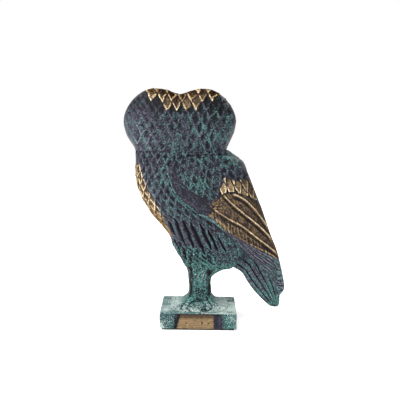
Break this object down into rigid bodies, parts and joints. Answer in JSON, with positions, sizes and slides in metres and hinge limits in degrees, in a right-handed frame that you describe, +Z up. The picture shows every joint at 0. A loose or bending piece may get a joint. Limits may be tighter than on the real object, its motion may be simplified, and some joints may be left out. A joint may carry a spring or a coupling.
{
  "type": "owl figurine",
  "caption": "Patinated cast bronze owl standing in profile with its head turned aside, on a rectangular plinth with a felt pad beneath.",
  "frame": {"origin": "centre of the felt pad's underside, which is the plinth's centre in plan", "axes": "+Z up; the owl's body faces -X and its tail points to +X; its head is turned to +Y, so -Y is the side that shows the back of the head"},
  "size_m": [0.1028, 0.046, 0.1497],
  "materials": {
    "patinated_bronze": "sand-cast, dark patina, verdigris in the hollows, rubbed to brass on the raised parts",
    "plinth_bronze": "sand-cast, mottled verdigris, rubbed to brass on the front",
    "bronze_rod": "drawn rod, plain",
    "zinc_plated_steel": "zinc plated, dull",
    "felt": "pressed wool felt"
  },
  "bodies": {
    "root": {"head": "patinated_bronze", "torso": "patinated_bronze", "left_wing": "patinated_bronze", "right_wing": "patinated_bronze", "tail": "patinated_bronze", "legs_and_feet": "patinated_bronze", "plinth": "plinth_bronze", "head_dowel": "bronze_rod", "tail_dowel": "bronze_rod", "left_wing_pins": "bronze_rod", "right_wing_pins": "bronze_rod", "leg_stud": "zinc_plated_steel", "washer": "zinc_plated_steel", "hex_nut": "zinc_plated_steel", "plinth_pin": "zinc_plated_steel", "base_pad": "felt"}
  },
  "joints": []
}
